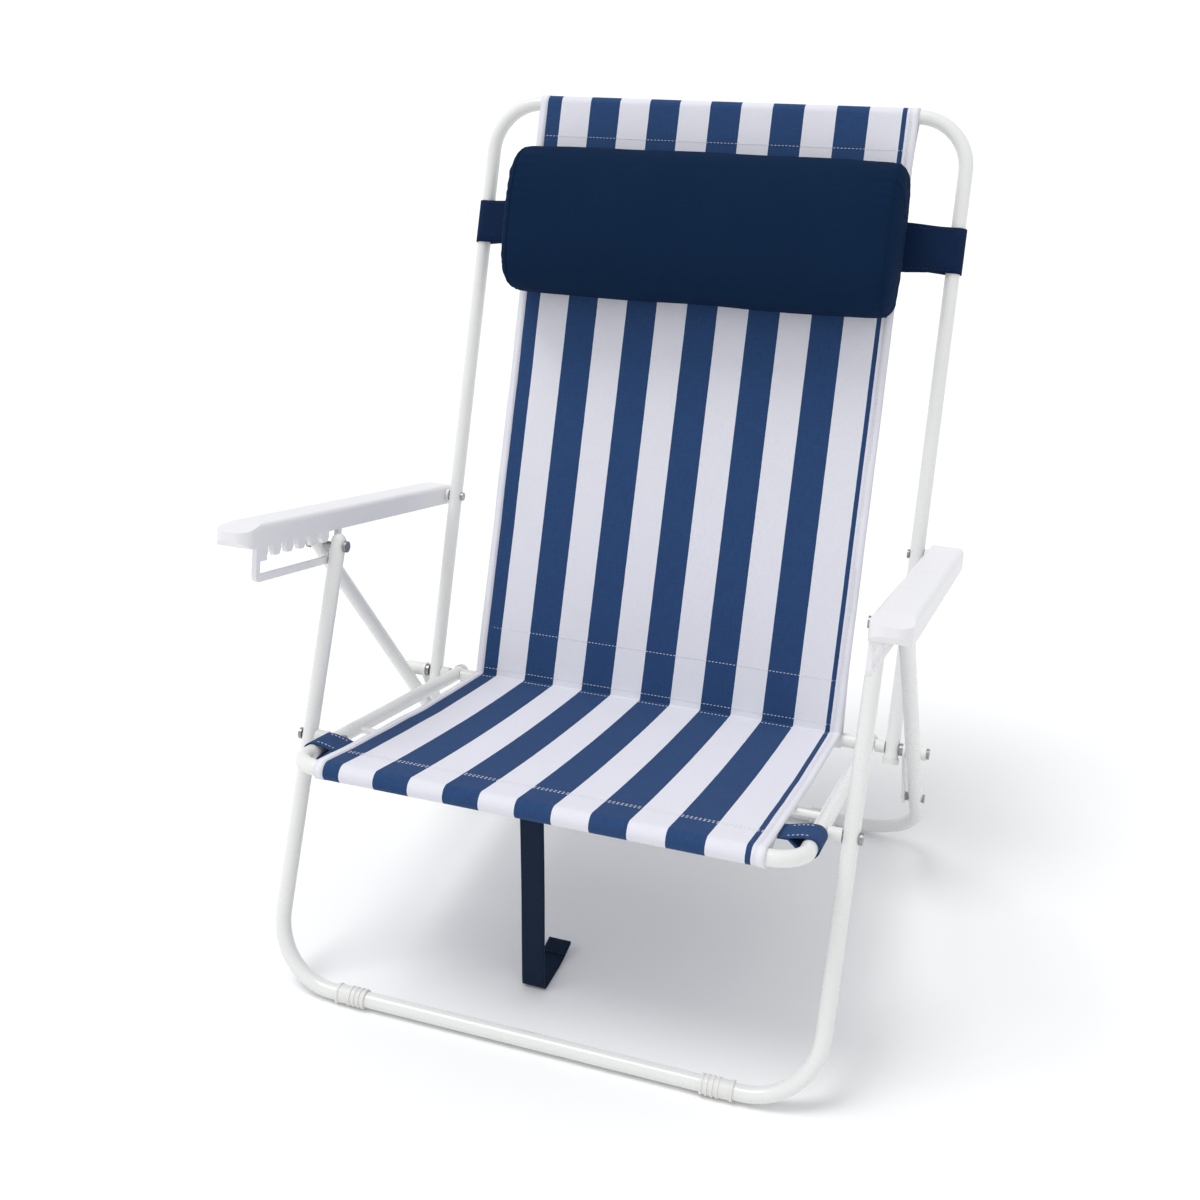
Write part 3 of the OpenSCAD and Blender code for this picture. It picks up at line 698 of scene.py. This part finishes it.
# %% [markdown]
# ## The closing strap
# A length of ribbed webbing is sewn under the band, hangs to the ground and lies back along it. It
# ties the folded chair shut. Webbing is stiff across and limp along, so one strip along a drooping
# path is true to it; its end is turned under and sewn, which keeps the cut from fraying.

# %% Closing strap
low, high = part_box("closing_strap")
STRAP_X = [float(x) for x in np.linspace(low.x, high.x, 7)]
STRAP_T = 0.0016
FLOOR_Z = 0.0018
strap_y = low.y + STRAP_T / 2
BEND_R = 0.0065
path = [(strap_y + 0.0012 * math.sin(math.pi * k / 24) ** 2, high.z + (BEND_R + FLOOR_Z - high.z) * k / 24)
        for k in range(25)]
bend = [math.radians(a) for a in range(10, 90, 10)]
path += [(strap_y + BEND_R * (1 - math.cos(a)), FLOOR_Z + BEND_R * (1 - math.sin(a))) for a in bend]
tail_start = strap_y + BEND_R
tail_end = high.y
for k in range(1, 15):
    y = tail_start + (tail_end - tail_start) * k / 14
    path.append((y, FLOOR_Z + 0.0062 * smooth_step(y, tail_start + 0.036, tail_end + 0.010)))
strap = strip("closing_webbing", path, STRAP_X, STRAP_T)
strap.data.materials.append(WEBBING)
hem_path = [(y, z + STRAP_T * 1.02) for y, z in path[-5:]]
hem = strip("closing_webbing_hem", hem_path, STRAP_X[:], STRAP_T)
hem.data.materials.append(WEBBING)
box_rows = []
hem_pts = [Vector((0, y, z + STRAP_T / 2)) for y, z in hem_path]
up = Vector((0, 0, 1))
for x in (low.x + 0.003, high.x - 0.003):
    box_rows.append([(Vector((x, p.y, p.z)), up) for p in hem_pts])
for p in (hem_pts[0], hem_pts[-1]):
    shift = 0.0015 if p is hem_pts[0] else -0.0015
    ends = (low.x + 0.003, high.x - 0.003)
    box_rows.append([(Vector((x, p.y + shift, p.z + shift * 0.2)), up) for x in ends])
strap_thread = stitches("closing_webbing_stitching", box_rows)
strap_thread.data.materials.append(NAVY_THREAD)
for piece in (strap, hem, strap_thread):
    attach(piece, "seat")
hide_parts("closing_strap")

# %% [markdown]
# ## The head pillow
# The pillow is a stuffed case with a flat back, a crowned front and a sewn panel at each end. Padded
# cloth swells between its seams and pinches at them. Cloth simulation with a little pressure gives
# that shape by itself: the end seams are pinned, the skin is blown out for twenty frames, and no
# point may move further than a set distance, so it stays in the space its CAD block holds.

# %% Pillow blank
PILLOW_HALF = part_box("head_pillow")[1].x
pillow_mesh = frame["nodes"]["head_pillow"].data
pillow_u = [BACK.d.dot((v.co - REAR).yz) for v in pillow_mesh.vertices]
pillow_v = [BACK.n.dot((v.co - REAR).yz) for v in pillow_mesh.vertices]
PILLOW_U = (min(pillow_u) + max(pillow_u)) / 2
PILLOW_H = max(pillow_u) - min(pillow_u)
PILLOW_V0, PILLOW_V1 = min(pillow_v), max(pillow_v)
print(f"pillow: {PILLOW_U:.3f} m up the back, {PILLOW_H:.3f} m high, {2 * PILLOW_HALF:.3f} m wide")
SWELL = 0.007
AROUND = 64


def pillow_section(angle, shrink):
    """(u, v) round the pillow: nearly flat behind, crowned ahead."""
    half_h, deep = PILLOW_H / 2 - SWELL, PILLOW_V1 - PILLOW_V0 - SWELL
    c, s = math.cos(angle), math.sin(angle)
    power = 2 / 2.7 if s > 0 else 2 / 5.0
    u = half_h * math.copysign(abs(c) ** (2 / 2.9), c)
    v = math.copysign(abs(s) ** power, s)
    front, behind = deep * 0.60, deep * 0.40
    v = v * (front if v > 0 else behind)
    return PILLOW_U + u * shrink, PILLOW_V0 + behind + v * shrink + (1 - shrink) * -behind * 0.3


def pillow_blank():
    reach = PILLOW_HALF - 0.003
    round_r = 0.014
    stations = [(x, 1.0) for x in np.linspace(-(reach - round_r), reach - round_r, 60)]
    ends = []
    for k in range(1, 6):
        a = math.radians(90 * k / 5)
        ends.append((reach - round_r + round_r * math.sin(a), 1 - 0.17 * (1 - math.cos(a))))
    stations = [(-x, s) for x, s in ends[::-1]] + stations + ends
    verts, faces = [], []
    for x, shrink in stations:
        pinch = 1 - 0.035 * (abs(x) / PILLOW_HALF) ** 6
        for k in range(AROUND):
            u, v = pillow_section(2 * math.pi * k / AROUND, shrink * pinch)
            verts.append(BACK.at(u, v, x))
    for i in range(len(stations) - 1):
        for k in range(AROUND):
            a, b = i * AROUND + k, i * AROUND + (k + 1) % AROUND
            faces.append((a, b, b + AROUND, a + AROUND))
    faces.append(tuple(range(AROUND))[::-1])
    faces.append(tuple((len(stations) - 1) * AROUND + k for k in range(AROUND)))
    return add_piece("head_pillow_case", verts, faces), stations


pillow, stations = pillow_blank()
print("pillow blank:", len(pillow.data.vertices), "points")

# %% Blow the pillow up
def apply_modifiers(obj):
    dg = bpy.context.evaluated_depsgraph_get()
    made = bpy.data.meshes.new_from_object(obj.evaluated_get(dg))
    obj.modifiers.clear()
    obj.data = made


def blow_up(obj, cap, voxel=0.006, pressure=4.0, frames=20):
    remesh = obj.modifiers.new("even", "REMESH")
    remesh.mode = "VOXEL"
    remesh.voxel_size = voxel
    apply_modifiers(obj)
    start = np.array([v.co for v in obj.data.vertices], float)
    pins = obj.vertex_groups.new(name="pins")
    seam_x = PILLOW_HALF - 0.003 - 0.010
    for k, p in enumerate(start):
        v = BACK.n.dot((Vector(p) - REAR).yz)
        near = abs(abs(p[0]) - seam_x)
        weight = 1.0 if near < 0.0045 or v < PILLOW_V0 + 0.002 else 0.0
        if weight:
            pins.add([k], weight, "REPLACE")
    cloth = obj.modifiers.new("cloth", "CLOTH")
    cloth.settings.use_pressure = True
    cloth.settings.uniform_pressure_force = pressure
    cloth.settings.quality = 6
    cloth.settings.mass = 0.3
    cloth.settings.tension_stiffness = 18
    cloth.settings.compression_stiffness = 18
    cloth.settings.bending_stiffness = 0.4
    cloth.settings.vertex_group_mass = "pins"
    cloth.settings.effector_weights.gravity = 0.0
    cloth.collision_settings.use_collision = False
    cloth.point_cache.frame_start = 1
    cloth.point_cache.frame_end = frames
    scene = bpy.context.scene
    for f in range(1, frames + 1):
        scene.frame_set(f)
    apply_modifiers(obj)
    scene.frame_set(1)
    moved = np.array([v.co for v in obj.data.vertices], float) - start
    far = np.linalg.norm(moved, axis=1)
    share = np.where(far > cap, cap / np.maximum(far, 1e-9), 1.0)
    place_at = start + moved * share[:, None]
    obj.data.vertices.foreach_set("co", place_at.astype(np.float32).ravel())
    obj.data.update()
    print(f"{obj.name}: moved {far.mean() * 1000:.1f} mm on average, {far.max() * 1000:.1f} mm at most")


blow_up(pillow, SWELL + 0.002)
subdivide = pillow.modifiers.new("fine", "SUBSURF")
subdivide.levels = subdivide.render_levels = 1
apply_modifiers(pillow)

# %% [markdown]
# Fine puckers gather along the end seams and the long seams, where the thread pulls the cloth in.
# The simulation is too coarse for them, so those at the end seams are pushed in afterwards, point by point, and
# the rest of the skin except its flat back gets a faint ripple.

# %% Puckers, cloth map and seams
def pucker(obj):
    rng = random.Random(5)
    waves = [(rng.uniform(28, 60), rng.uniform(0, 6.28), rng.uniform(0.4, 1.0)) for _ in range(5)]
    mesh = obj.data
    for vert in mesh.vertices:
        p = vert.co
        u, v = BACK.d.dot((p - REAR).yz) - PILLOW_U, BACK.n.dot((p - REAR).yz) - PILLOW_V0
        girth = math.atan2(v - 0.03, u)
        near = math.exp(-max(0.0, PILLOW_HALF - 0.012 - abs(p.x)) / 0.022)
        side = 1.7 if p.x > 0 else 0.0
        fold = sum(w * math.sin(n * girth + q + side) for n, q, w in waves) / 5
        slow = math.sin(p.x * 19 + 1.3) * math.sin(u * 31 + 0.4) + 0.6 * math.sin(p.x * 41 + u * 23)
        lift = 0.0016 * near * fold + 0.0007 * slow * (1 - near)
        if v > 0.004:
            vert.co = p + vert.normal * lift
    mesh.update()


def map_by_side(obj):
    """A cloth map in metres, laid on each face from the side that it faces."""
    mesh = obj.data
    layer = mesh.uv_layers.get("cloth") or mesh.uv_layers.new(name="cloth")
    for face in mesh.polygons:
        n = face.normal
        nu, nv = BACK.d.dot(n.yz), BACK.n.dot(n.yz)
        for li in face.loop_indices:
            p = mesh.vertices[mesh.loops[li].vertex_index].co
            u, v = BACK.d.dot((p - REAR).yz), BACK.n.dot((p - REAR).yz)
            if abs(n.x) > max(abs(nu), abs(nv)):
                layer.data[li].uv = (u, v)
            elif abs(nu) > abs(nv):
                layer.data[li].uv = (p.x, v)
            else:
                layer.data[li].uv = (p.x, u)
    mesh.polygons.foreach_set("use_smooth", [True] * len(mesh.polygons))


pucker(pillow)
map_by_side(pillow)
pillow.data.materials.clear()
pillow.data.materials.append(PILLOW_CLOTH)
print("pillow skin:", len(pillow.data.polygons), "faces")

# %% Piping on the end seams
def tube_along(name, points, radius, sides=8):
    pts = [Vector(p) for p in points]
    count = len(pts)
    verts, faces = [], []
    for k, p in enumerate(pts):
        t = (pts[(k + 1) % count] - pts[k - 1]).normalized()
        a = Vector((1, 0, 0)).cross(t).normalized()
        b = t.cross(a)
        for s in range(sides):
            w = 2 * math.pi * s / sides
            verts.append(p + a * math.cos(w) * radius + b * math.sin(w) * radius)
    for k in range(count):
        for s in range(sides):
            a, b = k * sides + s, k * sides + (s + 1) % sides
            c, d = ((k + 1) % count) * sides + (s + 1) % sides, ((k + 1) % count) * sides + s
            faces.append((a, b, c, d))
    return add_piece(name, verts, faces)


def skin_point(obj, origin, direction):
    """Where a ray from inside the pillow meets its skin."""
    cast = obj.ray_cast(origin, direction)
    return cast[1] if cast[0] else None


pipings = []
for side, word in ((-1, "left"), (1, "right")):
    x = side * (PILLOW_HALF - 0.0125)
    centre = BACK.at(PILLOW_U, (PILLOW_V0 + PILLOW_V1) / 2, x)
    ring = []
    for k in range(120):
        a = 2 * math.pi * k / 120
        d = BACK.at(math.cos(a), math.sin(a)) - REAR
        hit = skin_point(pillow, centre, Vector((0, d.y, d.z)))
        if hit is not None:
            ring.append(hit)
    pipings.append(tube_along(f"head_pillow_{word}_seam", ring, 0.0011))
    pipings[-1].data.materials.append(PILLOW_CLOTH)
print("seams:", [p.name for p in pipings])

# %% The strap that holds the pillow
STRAP_V = 0.0098
PILLOW_STRAP_T = 0.0013
strap_mesh = frame["nodes"]["pillow_strap"].data
strap_us = [BACK.d.dot((v.co - REAR).yz) for v in strap_mesh.vertices]
PILLOW_STRAP_W = max(strap_us) - min(strap_us)
STRAP_U = (max(strap_us) + min(strap_us)) / 2
STRAP_LOOP_R = 0.0092
STRAP_SEWN = 0.026


def strap_v(x):
    return STRAP_V - 0.0006 * smooth_step(abs(x), BACK_X - 0.03, BACK_X - 0.005)


def strap_spread(x):
    """The strap is a tenth wider where it passes behind the pillow."""
    return 1.0 + 0.10 * (1 - smooth_step(x, 0.225, BACK_X - 0.012))


pillow_strap, strap_long = band(
    "head_pillow_strap", BACK, STRAP_U, PILLOW_STRAP_W, BACK_X, strap_v, STRAP_LOOP_R, PILLOW_STRAP_T,
    STRAP_SEWN, STRAP_CLOTH, spread=strap_spread)
strap_rows = []
for side in (-1, 1):
    for w in (-0.022, 0.022):
        row = []
        for x in np.linspace(PILLOW_HALF - 0.01, BACK_X - 0.003, 10):
            on_top = BACK.at(STRAP_U + w, STRAP_V + PILLOW_STRAP_T / 2, side * x)
            row.append((on_top, Vector((0, BACK.n.x, BACK.n.y))))
        strap_rows.append(row)
pillow_thread = stitches("head_pillow_stitching", strap_rows)
pillow_thread.data.materials.append(NAVY_THREAD)
for piece in (pillow, *pipings):
    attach(piece, "back")
for piece in (pillow_strap, pillow_thread):
    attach(piece, "back")
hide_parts("head_pillow")
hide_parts("pillow_strap")

# %% [markdown]
# ## Floor, light and camera
# A white chair on a white floor needs light with a direction, or its tubes vanish. Small lamps would
# leave the far floor grey, so one broad sun stands nearly overhead and the sky fills the rest. The
# sky is a little brighter at the horizon, where it has to meet the floor without a line.

# %% Stage
def make_floor():
    reach = 60.0
    corners = [(-reach, -reach, 0), (reach, -reach, 0), (reach, reach, 0), (-reach, reach, 0)]
    floor = add_piece("floor", corners, [(0, 1, 2, 3)], smooth=False)
    mat, tree, shader = new_material("pale_floor")
    shader.inputs["Base Color"].default_value = (0.93, 0.93, 0.93, 1.0)
    shader.inputs["Roughness"].default_value = 0.9
    shader.inputs["Specular IOR Level"].default_value = 0.1
    floor.data.materials.append(mat)


def make_sky(overhead, horizon):
    world = bpy.data.worlds.new("studio")
    world.use_nodes = True
    tree = world.node_tree
    where = tree.nodes.new("ShaderNodeTexCoord")
    split = tree.nodes.new("ShaderNodeSeparateXYZ")
    tree.links.new(where.outputs["Generated"], split.inputs[0])
    height = math_node(tree, "ABSOLUTE", split.outputs[2])
    near = math_node(tree, "SUBTRACT", 1.0, math_node(tree, "DIVIDE", height, 0.16), clamp=True)
    glow = math_node(tree, "ADD", math_node(tree, "MULTIPLY", near, horizon - overhead), overhead)
    background = tree.nodes["Background"]
    background.inputs["Color"].default_value = (0.98, 0.99, 1.0, 1.0)
    tree.links.new(glow, background.inputs["Strength"])
    bpy.context.scene.world = world


make_floor()
OVERHEAD, HORIZON = 0.80, 1.06
make_sky(OVERHEAD, HORIZON)
sun = bpy.data.objects.new("sun", bpy.data.lights.new("sun", "SUN"))
sun.data.energy = 1.35
sun.data.angle = math.radians(28)
sun.rotation_euler = Vector((-0.34, -0.16, 0.93)).to_track_quat("Z", "Y").to_euler()
bpy.context.scene.collection.objects.link(sun)
bpy.context.scene.view_settings.view_transform = "Standard"
bpy.context.scene.view_settings.look = "None"
print("sun:", round(sun.data.energy, 2), "sky:", OVERHEAD)

# %% Camera
AZIMUTH, ELEVATION, ROLL = 0.3337645, 0.3620235, 0.0098313
level = math.cos(ELEVATION)
ahead = Vector((-math.sin(AZIMUTH) * level, math.cos(AZIMUTH) * level, -math.sin(ELEVATION)))
right = Vector((math.cos(AZIMUTH), math.sin(AZIMUTH), 0.0))
above = right.cross(ahead)
tip, keep = math.sin(ROLL), math.cos(ROLL)
right, above = right * keep + above * tip, above * keep - right * tip
camera = bpy.data.objects.new("camera", bpy.data.cameras.new("camera"))
camera.matrix_world = Matrix.Translation((0.44627, -1.37492, 0.97523)) @ Matrix(
    ((right.x, above.x, -ahead.x), (right.y, above.y, -ahead.y), (right.z, above.z, -ahead.z))).to_4x4()
camera.data.lens = 43.27
camera.data.sensor_width = 36.0
camera.data.shift_x = -0.00585
camera.data.shift_y = -0.05264
bpy.context.scene.collection.objects.link(camera)
bpy.context.scene.camera = camera
